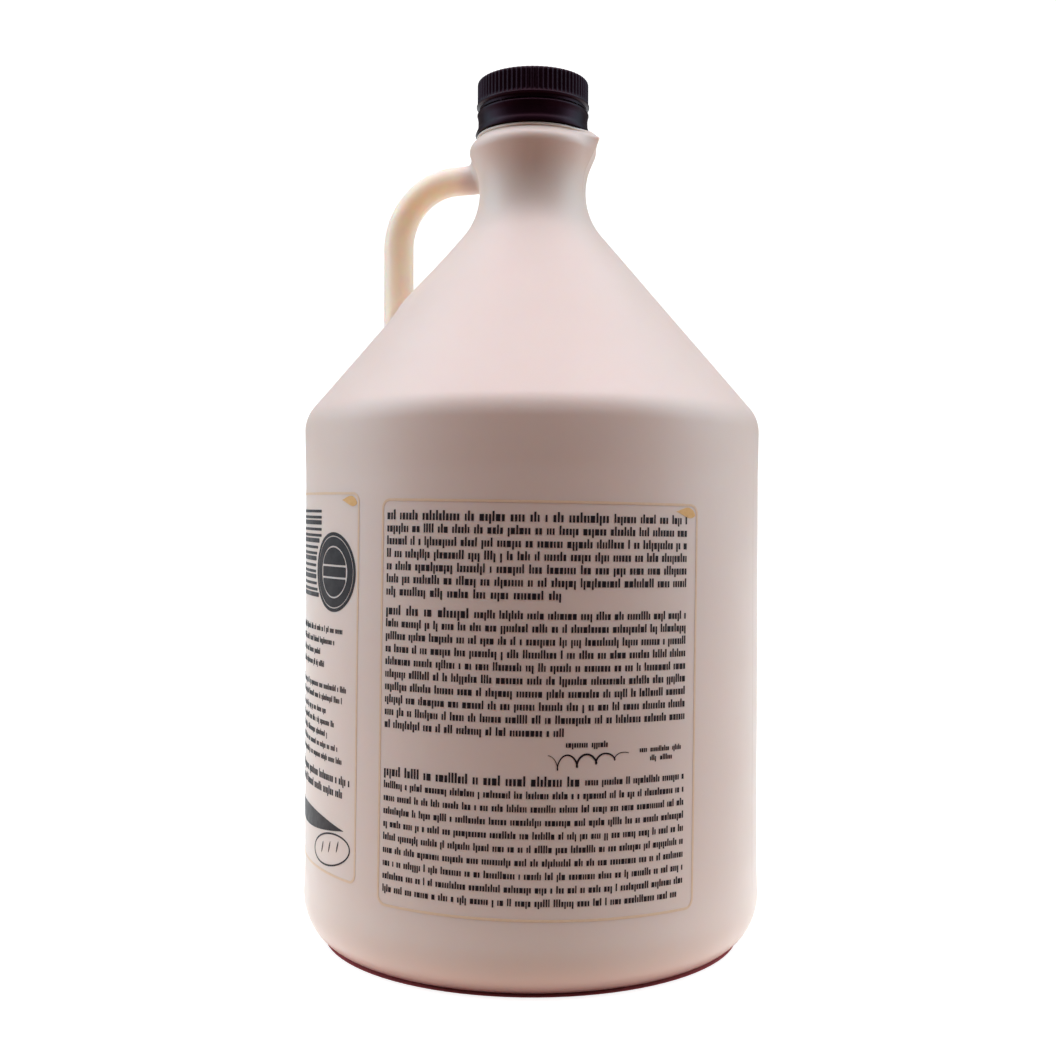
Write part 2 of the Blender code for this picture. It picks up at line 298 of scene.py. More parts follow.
def jug_outline():
    """Half section of the jug as (r, z), from the centre of its base up to the centre of its spigot."""
    inner_foot, heel_width = FOOT_R - FOOT_WIDTH, BODY_R - FOOT_R
    points = [(inner_foot * share, PUSH_UP * rise) for share, rise in BASE_RISE]
    points.append((FOOT_R - FOOT_WIDTH / 2, 0.0))
    heel_steps = 22
    for i in range(heel_steps + 1):
        angle = math.radians(90) * i / heel_steps
        points.append((FOOT_R + heel_width * math.sin(angle), HEEL_H - HEEL_H * math.cos(angle)))
    wall = along((BODY_R, HEEL_H), (BODY_R, SHOULDER_Z - SHOULDER_ROUND), 60)
    points += [(wall_radius(z), z) for _, z in wall]
    shoulder, waist, bulb, crease = CORNERS
    round_shoulder = fillet((BODY_R, HEEL_H), shoulder, waist, SHOULDER_ROUND, 16)
    side = neck_side()[:-1]
    round_bulb = fillet(waist, bulb, crease, BULB_ROUND, 12)
    points += round_shoulder + along(round_shoulder[-1], side[0], 34) + side
    points += along(side[-1], round_bulb[0], 10) + round_bulb
    points += along(round_bulb[-1], crease, 5) + [crease, (CREASE_R + 0.2, CREASE_Z + 0.12)]
    points += [(COLLAR_R, CREASE_Z + GAP), (COLLAR_R, COLLAR_TOP_Z - GAP)]
    finish_top = CAP_TOP_Z - CAP_TOP_THICK - GAP
    points += [(COLLAR_R - 0.1, COLLAR_TOP_Z - 0.1), (COLLAR_R - GAP, COLLAR_TOP_Z), (FINISH_R, COLLAR_TOP_Z)]
    return points + [(FINISH_R, finish_top), (0.0, finish_top)]


def neck_side():
    """The neck's side as (r, z): one wide arc from the shoulder's slope, then straight to the bulb."""
    shoulder, waist, bulb, _ = CORNERS
    return fillet(shoulder, waist, bulb, WAIST_ROUND, 20) + [bulb]


def neck_radius(z):
    side = neck_side()
    for (low_r, low_z), (high_r, high_z) in zip(side, side[1:]):
        if z <= high_z:
            return low_r + (high_r - low_r) * (z - low_z) / (high_z - low_z)
    return BULB_R


def swell(z, angle):
    """How far the shoulder swells out round the ring's foot."""
    aside = (math.pi - abs(angle)) / SWELL_ANGLE
    away = (z - SWELL_Z) / (SWELL_ABOVE if z > SWELL_Z else SWELL_BELOW)
    if aside >= 1 or abs(away) >= 1:
        return 0.0
    return SWELL_H * (math.cos(math.pi / 2 * aside) * math.cos(math.pi / 2 * away)) ** 2


def lip_tip(z):
    """How far the lip's keel reaches from the axis at a height of the neck."""
    foot_r = neck_radius(LIP_FOOT_Z)
    if z <= LIP_Z:
        return foot_r + (LIP_R - foot_r) * (z - LIP_FOOT_Z) / (LIP_Z - LIP_FOOT_Z)
    share = (z - LIP_Z) / (COLLAR_TOP_Z - LIP_Z)
    return LIP_R + (LIP_TOP_R - LIP_R) * share


def lip_reach(radius, z, angle):
    """Radius of the neck where it is drawn out into the lip, with a slightly rounded keel."""
    if not LIP_FOOT_Z < z <= COLLAR_TOP_Z or radius < CREASE_R - GAP:
        return radius
    tip = max(lip_tip(z), radius)
    spread = math.acos(radius / tip)
    if abs(angle) >= spread:
        return radius
    toward_keel = math.hypot(angle, KEEL_ROUND) - KEEL_ROUND * KEEL_ROUND / math.hypot(spread, KEEL_ROUND)
    return radius / math.cos(max(0.0, spread - toward_keel))


def wave(radius, z, angle):
    """The uneven shrinking of a blow-moulded wall: a few tenths across a hand's width."""
    place = Vector((radius * math.cos(angle), radius * math.sin(angle), z)) / WAVE_LENGTH
    share = smooth_step(0, WAVE_STARTS_Z, z) * (1 - smooth_step(*WAVE_ENDS_Z, z))
    return WAVINESS * (noise.noise(place) - 1.0) * share


def seam(radius, angle):
    """Height of the parting line."""
    aside = radius * abs(math.sin(angle))
    return SEAM_H * math.exp(-(aside / SEAM_W) ** 2)


def jug_place(radius, z, angle):
    signed = (angle + math.pi) % (2 * math.pi) - math.pi
    r = lip_reach(radius, z, signed) + swell(z, signed)
    if HEEL_H < z < CREASE_Z and radius > WAIST_R - 1:
        low = smooth_step(HEEL_H, HEEL_H + WALL_FADES, z)
        high = 1 - smooth_step(SHOULDER_Z - SHOULDER_FADES[0], SHOULDER_Z - SHOULDER_FADES[1], z)
        r += wave(radius, z, signed)
        r += seam(radius, signed) * (1.0 if z > SHOULDER_Z - 2 else low * high)
        r = min(r, BODY_R) if radius > 30 else r
    return r, z


def with_close(count, close):
    """Even angles round a circle, and finer ones on both sides of 0 and pi."""
    angles = [2 * math.pi * i / count for i in range(count)]
    for middle in (0.0, math.pi):
        angles += [(middle + side * step) % (2 * math.pi) for step in close for side in (-1, 1)]
    return sorted(angles)


def jug_angles():
    """Even columns, with finer ones at the parting line and on the lip."""
    return with_close(JUG_COLUMNS, JUG_CLOSE_COLUMNS)


def shoulder_height(x, y):
    """Height of the sloping shoulder at a place, found by steps because the swelling depends on it."""
    radius, angle = math.hypot(x, y), math.atan2(y, x)
    height = SWELL_Z
    for _ in range(12):
        height = SHOULDER_Z + (BODY_R - radius + swell(height, angle)) * SLOPE
    return height


def fillet_offset(height, radius):
    drop = max(0.0, radius - max(0.0, height))
    return radius - math.sqrt(max(0.0, radius * radius - drop * drop))


def tube_angles():
    """Directions round the ring's tube: 0 outward, pi towards the gap, finer at the parting line."""
    return with_close(TUBE_SIDES, TUBE_CLOSE_SIDES)


def tube_reach(t, tube):
    """The tube's radius with its parting line outside and inside."""
    aside = tube * abs(math.sin(t))
    return tube + SEAM_H * math.exp(-(aside / SEAM_W) ** 2) - SEAM_H


def arm_section(share):
    section = []
    for t in tube_angles():
        top = (1 + math.cos(t)) / 2
        radius = ARM_FILLET_UNDER + (ARM_FILLET_TOP - ARM_FILLET_UNDER) * top
        height = share * radius if share > 0 else -ROOT_DEPTH
        reach = tube_reach(t, ARM_TUBE_R) + fillet_offset(height, radius)
        y, z = reach * math.sin(t), RING_ARM_Z + reach * math.cos(t)
        section.append((-math.sqrt(neck_radius(z) ** 2 - y * y) - height, y, z))
    return section


def bend_section(share):
    angle = math.radians(90) * (1 - share)
    tube = ARM_TUBE_R + (UPRIGHT_TUBE_R - ARM_TUBE_R) * share
    section = []
    for t in tube_angles():
        reach = tube_reach(t, tube)
        out = RING_BEND_R + reach * math.cos(t)
        x = RING_BEND_R - RING_X - out * math.cos(angle)
        section.append((x, reach * math.sin(t), RING_ARM_Z - RING_BEND_R + out * math.sin(angle)))
    return section


def upright_section(share):
    tilt = math.cos(math.atan(SLOPE))
    section = []
    for t in tube_angles():
        outer = (1 + math.cos(t)) / 2
        radius = UPRIGHT_FILLET_INNER + (UPRIGHT_FILLET_OUTER - UPRIGHT_FILLET_INNER) * outer
        height = share * radius if share > 0 else -ROOT_DEPTH
        grow = fillet_offset(height, radius)
        reach = tube_reach(t, UPRIGHT_TUBE_R)
        x = -RING_X - (reach + grow * tilt) * math.cos(t)
        y = (reach + grow) * math.sin(t)
        section.append((x, y, shoulder_height(x, y) + height / tilt))
    return section


def plug(middle_x, middle_z, upright):
    size = ARM_TUBE_R * PLUG_SHARE
    section = []
    for t in tube_angles():
        y, other = size * math.sin(t), size * math.cos(t)
        section.append((middle_x - other, y, middle_z) if upright else (middle_x, y, middle_z + other))
    return section


def finger_ring(material):
    sections = [plug(-WAIST_R * PLUG_SHARE, RING_ARM_Z, False), arm_section(0)]
    sections += [arm_section(share) for share in TUBE_FILLET_SHARES]
    sections += [bend_section(i / BEND_STEPS) for i in range(BEND_STEPS + 1)]
    sections += [upright_section(share) for share in reversed(TUBE_FILLET_SHARES)]
    sections += [upright_section(0), plug(-RING_X, shoulder_height(-RING_X, 0.0) - PLUG_DEPTH, True)]
    sides = len(sections[0])
    vertices = [point for section in sections for point in section]
    faces = [list(reversed(range(sides)))]
    for row in range(len(sections) - 1):
        for i in range(sides):
            j = (i + 1) % sides
            a, b = row * sides, (row + 1) * sides
            faces.append((a + i, a + j, b + j, b + i))
    faces.append([(len(sections) - 1) * sides + i for i in range(sides)])
    return new_object("ring_tool", vertices, faces, material)


def face_out(obj):
    """Turns every face outward, as the Boolean needs."""
    bm = bmesh.new()
    bm.from_mesh(obj.data)
    bmesh.ops.recalc_face_normals(bm, faces=bm.faces)
    bm.to_mesh(obj.data)
    bm.free()


def jug_body(material):
    body = new_object("jug_body", *turned_mesh(jug_outline(), jug_angles(), jug_place), material)
    ring = finger_ring(material)
    face_out(body)
    face_out(ring)
    join = body.modifiers.new("ring", "BOOLEAN")
    join.operation = "UNION"
    join.solver = "EXACT"
    join.object = ring
    graph = bpy.context.evaluated_depsgraph_get()
    joined = bpy.data.meshes.new_from_object(body.evaluated_get(graph))
    body.modifiers.clear()
    body.data = joined
    bpy.data.objects.remove(ring, do_unlink=True)
    joined.shade_smooth()
    joined.set_sharp_from_angle(angle=math.radians(50))
    return body


def rib_profile(angle):
    """1 in the groove between two ribs, 0 on a rib's rounded crest."""
    turn = (angle * RIB_COUNT / (2 * math.pi)) % 1.0
    return 0.5 - 0.5 * math.cos(2 * math.pi * turn)


def cap_piece(material):
    ceiling = CAP_TOP_Z - CAP_TOP_THICK
    top_edge = fillet((0, CAP_TOP_Z), (CAP_R, CAP_TOP_Z), (CAP_R, RIB_HIGH_Z - 2), CAP_EDGE_ROUND, 5)
    dish = [(radius, CAP_TOP_Z - depth) for radius, depth in CAP_DISH]
    outline = [(0.0, dish[0][1])] + dish + [(16.6, CAP_TOP_Z)] + top_edge
    outline += along(top_edge[-1], (CAP_R, RIB_LOW_Z), 8) + [(CAP_R, RIB_LOW_Z)]
    outline += [(CAP_R + 0.08, RIB_LOW_Z - 0.25), (CAP_LIP_R, CAP_LIP_Z + 0.4), (CAP_LIP_R, CAP_LIP_Z + 0.1)]
    outline += [(CAP_LIP_R - 0.15, CAP_LIP_Z - 0.1), (NECKED_R, CAP_LIP_Z - 0.5), (NECKED_R, CAP_LOW_Z)]
    outline += [(CAP_INNER_R, CAP_LOW_Z), (CAP_INNER_R, ceiling), (0.0, ceiling)]
    ribs_top = CAP_TOP_Z - CAP_EDGE_ROUND * 0.35

    def place(radius, z, angle):
        if radius < CAP_R - CAP_EDGE_ROUND or not RIB_LOW_Z - 0.3 <= z <= CAP_TOP_Z - 0.02:
            return radius, z
        fade = 1 - 0.6 * smooth_step(ribs_top, CAP_TOP_Z, z)
        fade *= smooth_step(RIB_LOW_Z - 0.3, RIB_LOW_Z + 0.2, z)
        return radius - RIB_DEPTH * fade * rib_profile(angle), z

    columns = RIB_COUNT * RIB_STEPS
    angles = [2 * math.pi * i / columns for i in range(columns)]
    return new_object("screw_cap", *turned_mesh(outline, angles, place), material, 50)


def band_piece(material):
    flare = fillet((BAND_WAIST_R, BAND_WAIST_Z), (BAND_WAIST_R + 0.05, BAND_LOW_Z + BAND_FLARE_H + 1.2),
                   (BAND_FLARE_R, BAND_LOW_Z + 0.5), 3.0, 5)
    outline = [(NECKED_R, BAND_TOP_Z), (BAND_BEAD_R - 0.15, BAND_BEAD_Z + 0.55)]
    outline += [(BAND_BEAD_R, BAND_BEAD_Z + 0.25), (BAND_BEAD_R, BAND_BEAD_Z)]
    outline += [(BAND_BEAD_R - 0.12, BAND_BEAD_Z - 0.3)]
    outline += [(BAND_WAIST_R + 0.05, BAND_WAIST_Z + GAP), (BAND_WAIST_R, BAND_WAIST_Z)] + flare
    outline += [(BAND_FLARE_R, BAND_LOW_Z + GAP), (BAND_FLARE_R - 0.08, BAND_LOW_Z + 0.08)]
    outline += [(BAND_FLARE_R - GAP, BAND_LOW_Z), (BAND_INNER_R, BAND_LOW_Z), (BAND_INNER_R, BAND_TOP_Z)]
    angles = [2 * math.pi * i / BAND_COLUMNS for i in range(BAND_COLUMNS)]
    vertices, faces = turned_mesh(outline, angles, lambda r, z, a: (r, z))
    for k in range(BRIDGE_COUNT):
        add_bridge(vertices, faces, 2 * math.pi * (k + 0.5) / BRIDGE_COUNT)
    return new_object("tamper_ring", vertices, faces, material, 50)


def add_bridge(vertices, faces, angle):
    """A thin web that ties the band to the cap until it is torn."""
    inner, outer = NECKED_R - 0.5, NECKED_R - 0.05
    low, high = BAND_TOP_Z - 0.05, CAP_LOW_Z
    c, s = math.cos(angle), math.sin(angle)
    first = len(vertices)
    for z in (low, high):
        for x, side in ((inner, -1), (outer, -1), (outer, 1), (inner, 1)):
            y = BRIDGE_HALF * side
            vertices.append((x * c - y * s, x * s + y * c, z))
    box = [(3, 2, 1, 0), (4, 5, 6, 7), (0, 1, 5, 4), (1, 2, 6, 5), (2, 3, 7, 6), (3, 0, 4, 7)]
    faces += [tuple(first + i for i in face) for face in box]


# Print

class Panel:
    """Thin print on the wall, in millimetres to the right of the panel's middle and above the floor."""

    def __init__(self, middle, centre_z):
        self.middle, self.centre_z = middle, centre_z
        self.vertices, self.faces = [], []

    def point(self, s, z, lift):
        c, t = math.cos(PRINT_TILT), math.sin(PRINT_TILT)
        dz = z - self.centre_z
        s, z = s * c - dz * t, self.centre_z + s * t + dz * c
        angle = self.middle + s / BODY_R
        radius = wall_radius(z) + wave(BODY_R, z, angle) + lift
        return radius * math.cos(angle), radius * math.sin(angle), z

    def strip(self, low, high, closed=False):
        """A closed slab of ink between two lines of (s, z) points."""
        first, count = len(self.vertices), len(low)
        for a, b in zip(low, high):
            self.vertices += [self.point(*a, INK_H), self.point(*b, INK_H)]
            self.vertices += [self.point(*a, -INK_ROOT), self.point(*b, -INK_ROOT)]
        spans = count if closed else count - 1
        for i in range(spans):
            p, q = first + 4 * i, first + 4 * ((i + 1) % count)
            self.faces += [(p, q, q + 1, p + 1), (p + 2, p + 3, q + 3, q + 2)]
            self.faces += [(p, p + 2, q + 2, q), (p + 1, q + 1, q + 3, p + 3)]
        if not closed:
            last = first + 4 * (count - 1)
            self.faces += [(first, first + 1, first + 3, first + 2), (last, last + 2, last + 3, last + 1)]

    def bar(self, left, right, low, high, slant=0.0):
        """A bar with clipped corners, split so that it follows the wall."""
        clip = min(0.25, (high - low) * 0.3, (right - left) * 0.3)
        steps = max(1, math.ceil((right - left) / INK_STEP))
        marks = [left + (right - left) * i / steps for i in range(steps + 1)]
        marks = [marks[0], marks[0] + clip] + marks[1:-1] + [marks[-1] - clip, marks[-1]]
        lows, highs = [], []
        for i, s in enumerate(marks):
            inset = clip if i in (0, len(marks) - 1) else 0.0
            rise = (s - left) * slant
            lows.append((s, low + inset + rise))
            highs.append((s, high - inset + rise))
        self.strip(lows, highs)

    def ring(self, s, z, outer, inner, squash=1.0, turn=0.0, steps=64):
        """A line round a circle, or round an oval whose height is a share of its width."""
        lows, highs = [], []
        cos_turn, sin_turn = math.cos(turn), math.sin(turn)
        for i in range(steps):
            angle = 2 * math.pi * i / steps
            for radius, line in ((outer, lows), (inner, highs)):
                x = radius * math.cos(angle)
                y = (radius * squash - (outer - radius) * (1 - squash)) * math.sin(angle)
                line.append((s + x * cos_turn - y * sin_turn, z + x * sin_turn + y * cos_turn))
        self.strip(lows, highs, closed=True)

    def disc(self, s, z, radius, low=-1.0, high=1.0):
        """A round field, cut flat below and above at shares of its radius."""
        lows, highs = [], []
        steps = 24
        for i in range(steps + 1):
            angle = math.pi * i / steps
            x, y = -radius * math.cos(angle), radius * math.sin(angle)
            bottom, top = max(-y, low * radius), min(y, high * radius)
            if top - bottom < 0.02:
                if abs(bottom) > 0.02 or abs(top) > 0.02:
                    continue
                bottom, top = -0.01, 0.01
            lows.append((s + x, z + bottom))
            highs.append((s + x, z + top))
        self.strip(lows, highs)

    def stroke(self, points, width):
        """A pen line through points (s, z), tapering at both ends."""
        lows, highs = [], []
        for i, (s, z) in enumerate(points):
            before, after = points[max(0, i - 1)], points[min(len(points) - 1, i + 1)]
            way = Vector((after[0] - before[0], after[1] - before[1])).normalized()
            share = i / (len(points) - 1)
            half = width / 2 * (0.25 + 0.75 * math.sin(math.pi * share))
            lows.append((s + way.y * half, z - way.x * half))
            highs.append((s - way.y * half, z + way.x * half))
        self.strip(lows, highs)

    def frame(self, half_width, low, high):
        """The thin line round the panel."""
        path, corner = [], FRAME_CORNER
        ends = ((half_width - corner, high - corner, 0), (corner - half_width, high - corner, 90),
                (corner - half_width, low + corner, 180), (half_width - corner, low + corner, 270))
        for index, (s, z, start) in enumerate(ends):
            for i in range(9):
                angle = math.radians(start + 90 * i / 8)
                path.append((s, z, math.cos(angle), math.sin(angle)))
            s_next, z_next, _ = ends[(index + 1) % 4]
            out = math.radians(start + 90)
            steps = int(math.hypot(s_next - s, z_next - z) / INK_STEP)
            path += [(*spot, math.cos(out), math.sin(out)) for spot in along((s, z), (s_next, z_next), steps)]
        inner = corner - FRAME_LINE
        lows = [(s + out_s * corner, z + out_z * corner) for s, z, out_s, out_z in path]
        highs = [(s + out_s * inner, z + out_z * inner) for s, z, out_s, out_z in path]
        self.strip(lows, highs, closed=True)

    def drop(self, right, top, length, height):
        """A teardrop that lies along the frame's upper right corner and points left."""
        lows, highs = [], []
        steps = 24
        for i in range(steps + 1):
            share = i / steps
            half = height / 2 * math.sin(math.pi * share ** 1.7) ** 0.75 + 0.02
            s, z = right - length * (1 - share), top - height / 2 - height * 0.3 * share ** 3
            lows.append((s, z - half))
            highs.append((s, z + half))
        self.strip(lows, highs)

    def words(self, left, right, z, height, rng):
        """A row that fills its width, of words made of a few plain upright blocks."""
        gap, full = height * BLOCK_GAP, False
        blocks, used, word_ends = [], 0.0, []
        while not full:
            for _ in range(rng.choice(WORD_LENGTHS)):
                kind = rng.random()
                tall, deep = kind < TALL_SHARE, kind > 1 - DEEP_SHARE
                width = height * min(rng.choice(BLOCK_WIDTHS), TALL_WIDTH if tall or deep else 1.0)
                full = full or used + width > right - left
                if not full:
                    blocks.append((used, width, tall, deep))
                    used += width + gap
            word_ends.append(len(blocks))
            used += height * (WORD_GAP - BLOCK_GAP)
        spare = right - left - blocks[-1][0] - blocks[-1][1]
        spaces = max(1, sum(1 for end in word_ends if end < len(blocks)))
        for i, (start, width, tall, deep) in enumerate(blocks):
            s = left + start + spare * min(spaces, sum(1 for end in word_ends if end <= i)) / spaces
            low, high = z - height * (DEEP_FOOT if deep else 0.5), z + height * (TALL_TOP if tall else 0.5)
            self.strip([(s, low), (s + width, low)], [(s, high), (s + width, high)])

    def piece(self, name, material):
        obj = new_object(name, self.vertices, self.faces, material, 30)
        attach(obj, "root")
        return obj


def curve_points(count, rule):
    return [rule(i / (count - 1)) for i in range(count)]


def gold_frame(name, middle, half, low, high, gold):
    """A panel's pale line and the stronger drop in its corner."""
    pale, strong = gold
    line = Panel(middle, (low + high) / 2)
    line.frame(half, low, high)
    line.piece(name + "_frame", pale)
    corner = Panel(middle, (low + high) / 2)
    corner.drop(half - FRAME_LINE - 0.4, high - FRAME_LINE - 0.15, 8.0, 3.1)
    corner.piece(name + "_drop", strong)


def main_panel(dark, gold):
    """The large panel that faces the camera: three blocks of rows in a thin frame."""
    middle, half, low, high = facing(1.75), 52.05, 24.3, 147.5
    centre_z = (low + high) / 2
    rng = random.Random(4)
    ink = Panel(middle, centre_z)
    left, right = -49.8, 47.4
    bold = 2.05
    blocks = ((142.2, 3.807, 7, 1.85, 19.7, 5.6), (113.55, 3.802, 10, 1.72, -21.8, 7.1),
              (64.95, 3.93, 10, 1.52, 12.0, 45.1))
    for top, pitch, count, row, bold_end, last_end in blocks:
        for i in range(count):
            z = top - pitch * i
            end = last_end if i == count - 1 else right
            if i == 0:
                ink.words(left, bold_end, z, bold, rng)
                ink.words(bold_end + 1.8, end, z, row, rng)
            else:
                ink.words(left, end, z, row, rng)
    ink.words(7.8, 20.5, 76.0, 1.3, rng)
    ink.words(31.0, 46.1, 73.9, 1.15, rng)
    ink.words(34.6, 42.6, 71.3, 1.15, rng)
    flourish = curve_points(90, lambda t: (2.5 + 24.0 * t + 1.1 * math.sin(26 * t),
                                           70.6 + 2.4 * math.cos(26 * t) * (1 - 0.65 * t) + 2.2 * t))
    ink.stroke(flourish, 0.6)
    ink.piece("main_panel_rows", dark)
    gold_frame("main_panel", middle, half, low, high, gold)


def side_panel(dark, gold):
    """The panel beside it, which runs round towards the ring: stripes, a badge, centred rows, an oval."""
    half, low, high = 38.6, 29.5, 150.8
    middle, centre_z = facing(-43.4) - half / BODY_R, (low + high) / 2
    rng = random.Random(9)
    ink = Panel(middle, centre_z)
    badge_s, badge_z, badge_clear = 24.5, 125.6, 14.2
    stripe_count, stripe_low, stripe_step, stripe_h = 15, 117.0, 1.95, 0.9
    for i in range(stripe_count):
        z = stripe_low + stripe_step * i
        thick = stripe_h * (1.6 if i % 3 == 0 else 1.0)
        reach = math.sqrt(max(0.0, badge_clear ** 2 - (z - badge_z) ** 2))
        ink.bar(-15.0, min(15.4, badge_s - reach), z, z + thick)
    ink.ring(badge_s, badge_z, 12.6, 11.5)
    ink.ring(badge_s, badge_z, 11.15, 8.3)
    ink.disc(badge_s, badge_z, 7.8, 0.3, 1.0)
    ink.bar(badge_s - 7.4, badge_s + 7.4, badge_z - 1.5, badge_z + 1.7)
    ink.disc(badge_s, badge_z, 7.8, -1.0, -0.27)
    rows = ((107.0, 30.4), (103.2, 25.5), (99.4, 15.0), (95.6, 18.4), (88.8, 32.7), (85.2, 30.5),
            (81.0, 20.0), (77.3, 25.7), (73.6, 21.0), (69.9, 28.0), (66.2, 30.6))
    for z, reach in rows:
        ink.words(-reach, reach, z, 1.35, rng)
    for z, reach in ((60.2, 35.0), (56.0, 31.0)):
        ink.words(-reach, reach, z, 1.9, rng)
    steps = 40
    high_line = curve_points(steps, lambda t: (-32.0 + 64.0 * t, 45.0 + 3.4 * math.sin(math.pi * t)))
    low_line = curve_points(steps, lambda t: (-32.0 + 64.0 * t, 44.9 - 3.2 * math.sin(math.pi * t)))
    ink.strip(low_line, high_line)
    ink.ring(23.4, 37.6, 12.6, 12.05, squash=0.42, turn=math.radians(11))
    for k in range(3):
        s = 17.6 + 5.2 * k
        z = 35.6 + 1.0 * k
        ink.stroke(curve_points(8, lambda t: (s + 1.2 * t, z + 3.6 * t)), 0.6)
    ink.piece("side_panel_rows", dark)
    gold_frame("side_panel", middle, half, low, high, gold)


def front_panel(dark, gold):
    """The side that the photograph doesn't show: one large plain oval between bars, in the same frame."""
    half, low, high = 51.1, 26.0, 147.1
    middle, centre_z = facing(1.4) + math.pi, (low + high) / 2
    rng = random.Random(21)
    ink = Panel(middle, centre_z)
    ink.ring(0.0, 104.0, 40.0, 38.4, squash=0.62, steps=96)
    ink.ring(0.0, 104.0, 36.8, 36.3, squash=0.58, steps=96)
    ink.bar(-24.0, 24.0, 100.5, 108.5)
    ink.bar(-16.0, 16.0, 93.0, 96.5)
    ink.bar(-12.0, 12.0, 112.5, 115.5)
    ink.bar(-44.0, 44.0, 60.0, 68.0)
    for i in range(3):
        reach = 34.0 - 7.0 * i
        ink.words(-reach, reach, 53.0 - 5.0 * i, 2.2, rng)
    ink.words(-30.0, 30.0, 33.5, 1.45, rng)
    ink.piece("front_panel_rows", dark)
    gold_frame("front_panel", middle, half, low, high, gold)
    line = Panel(middle, centre_z)
    line.ring(0.0, 104.0, 42.6, 41.4, squash=0.64, steps=96)
    line.bar(-44.0, 44.0, 70.0, 70.8)
    line.bar(-44.0, 44.0, 57.2, 58.0)
    line.piece("front_panel_lines", gold[1])


# Materials

def new_material(name):
    material = bpy.data.materials.new(name)
    material.use_nodes = True
    tree = material.node_tree
    return material, tree, tree.nodes["Principled BSDF"]


def noise_node(tree, scale, detail=3.0, stretch=(1.0, 1.0, 1.0)):
    coords = tree.nodes.new("ShaderNodeTexCoord")
    mapping = tree.nodes.new("ShaderNodeMapping")
    mapping.inputs["Scale"].default_value = stretch
    texture = tree.nodes.new("ShaderNodeTexNoise")
    texture.inputs["Scale"].default_value = scale
    texture.inputs["Detail"].default_value = detail
    tree.links.new(coords.outputs["Object"], mapping.inputs["Vector"])
    tree.links.new(mapping.outputs["Vector"], texture.inputs["Vector"])
    return texture


def ramp_node(tree, source, stops):
    ramp = tree.nodes.new("ShaderNodeValToRGB")
    ramp.color_ramp.elements[0].position, ramp.color_ramp.elements[0].color = stops[0][0], (*stops[0][1], 1)
    ramp.color_ramp.elements[1].position, ramp.color_ramp.elements[1].color = stops[-1][0], (*stops[-1][1], 1)
    for position, color in stops[1:-1]:
        element = ramp.color_ramp.elements.new(position)
        element.color = (*color, 1)
    tree.links.new(source.outputs["Fac"], ramp.inputs["Fac"])
    return ramp


def cloudy_color(tree, shader, scale, detail, stops):
    tones = ramp_node(tree, noise_node(tree, scale, detail), stops)
    tree.links.new(tones.outputs["Color"], shader.inputs["Base Color"])


def uneven_roughness(tree, shader, scale, low, high):
    node = tree.nodes.new("ShaderNodeMapRange")
    node.inputs["From Min"].default_value = 0.3
    node.inputs["From Max"].default_value = 0.7
    node.inputs["To Min"].default_value = low
    node.inputs["To Max"].default_value = high
    tree.links.new(noise_node(tree, scale).outputs["Fac"], node.inputs["Value"])
    tree.links.new(node.outputs["Result"], shader.inputs["Roughness"])


def bump_chain(tree, shader, layers):
    """Stacks bumps: each layer is a texture and its height in metres."""
    normal = None
    for source, height in layers:
        bump = tree.nodes.new("ShaderNodeBump")
        bump.inputs["Distance"].default_value = height
        bump.inputs["Strength"].default_value = 1.0
        tree.links.new(source.outputs["Fac"], bump.inputs["Height"])
        if normal:
            tree.links.new(normal, bump.inputs["Normal"])
        normal = bump.outputs["Normal"]
    tree.links.new(normal, shader.inputs["Normal"])


def ring_mask(tree):
    """1 on the finger ring and 0 on the jug, by the place on the object. It paints the ring's paler glow and
    strengthens its subsurface scattering.
    """
    coords = tree.nodes.new("ShaderNodeTexCoord")
    parts = tree.nodes.new("ShaderNodeSeparateXYZ")
    above = tree.nodes.new("ShaderNodeVectorMath")
    above.operation = "DOT_PRODUCT"
    above.inputs[1].default_value = (-SLOPE, 0.0, 1.0)
    tree.links.new(coords.outputs["Object"], parts.inputs[0])
    tree.links.new(coords.outputs["Object"], above.inputs[0])
    slope_top = SHOULDER_Z + BODY_R * SLOPE
    beside = step_node(tree, parts.outputs["X"], *[-reach * MM for reach in GLOW_FROM_AXIS])
    clear = step_node(tree, above.outputs["Value"], *[(slope_top + height) * MM for height in GLOW_ABOVE])
    both = tree.nodes.new("ShaderNodeMath")
    both.operation = "MULTIPLY"
    tree.links.new(beside, both.inputs[0])
    tree.links.new(clear, both.inputs[1])
    return both.outputs["Value"]


def polyethylene():
    material, tree, shader = new_material("tan_polyethylene")
    tones = ramp_node(tree, noise_node(tree, 22.0), TAN_TONES)
    ring = ring_mask(tree)
    # painted glow: the ring's base colour is mixed towards a paler colour for the light that passes through
    # it
    tree.links.new(mix_color(tree, ring, tones.outputs["Color"], PAINTED_RING_GLOW), shader.inputs["Base Color"])
    uneven_roughness(tree, shader, 130.0, 0.38, 0.47)
    for name, (solid, thin) in (("Subsurface Weight", (0.35, 1.0)), ("Subsurface Scale", (0.005, 0.016))):
        share = tree.nodes.new("ShaderNodeMapRange")
        share.inputs["To Min"].default_value = solid
        share.inputs["To Max"].default_value = thin
        tree.links.new(ring, share.inputs["Value"])
        tree.links.new(share.outputs["Result"], shader.inputs[name])
    shader.inputs["Subsurface Radius"].default_value = (1.0, 0.55, 0.35)
    shader.inputs["IOR"].default_value = 1.5
    streaks = noise_node(tree, 90.0, 2.0, (1.0, 1.0, 0.06))
    grain = noise_node(tree, 1500.0, 2.0)
    bump_chain(tree, shader, ((streaks, 0.00006), (grain, 0.000012)))
    return material


